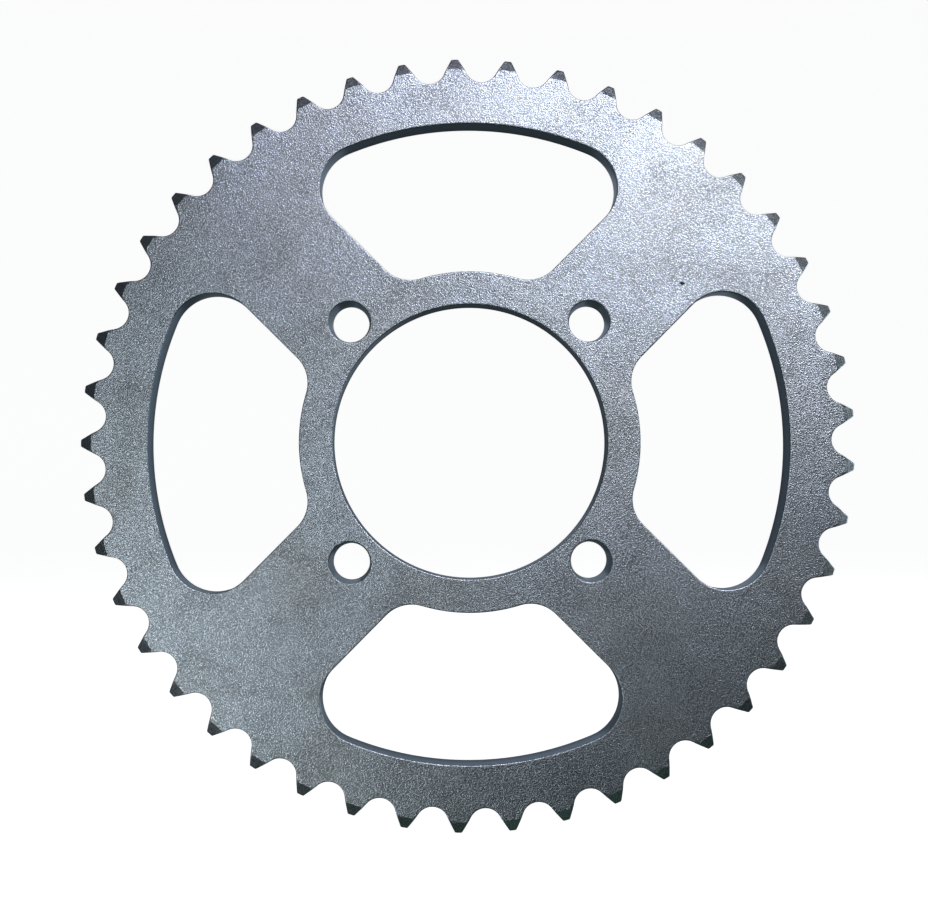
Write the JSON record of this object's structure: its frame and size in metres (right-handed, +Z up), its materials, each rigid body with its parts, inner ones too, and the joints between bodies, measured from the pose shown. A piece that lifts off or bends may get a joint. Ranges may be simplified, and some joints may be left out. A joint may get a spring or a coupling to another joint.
{
  "type": "rear sprocket",
  "caption": "Flat steel chain sprocket for a motorcycle's rear wheel, with a toothed rim, open windows between its spokes, a central bore and bolt holes.",
  "frame": {"origin": "centre of the bore, half way through the plate", "axes": "+Y along the wheel axis, from the outer face towards the hub; +Z up; +X across, through the middle of a tooth gap"},
  "size_m": [0.1863, 0.006, 0.1864],
  "materials": {
    "zinc_plated_steel": "blasted steel under bright blue-white zinc plating, pebbled faces and smooth cut walls"
  },
  "bodies": {
    "root": {"sprocket_plate": "zinc_plated_steel"}
  },
  "joints": []
}
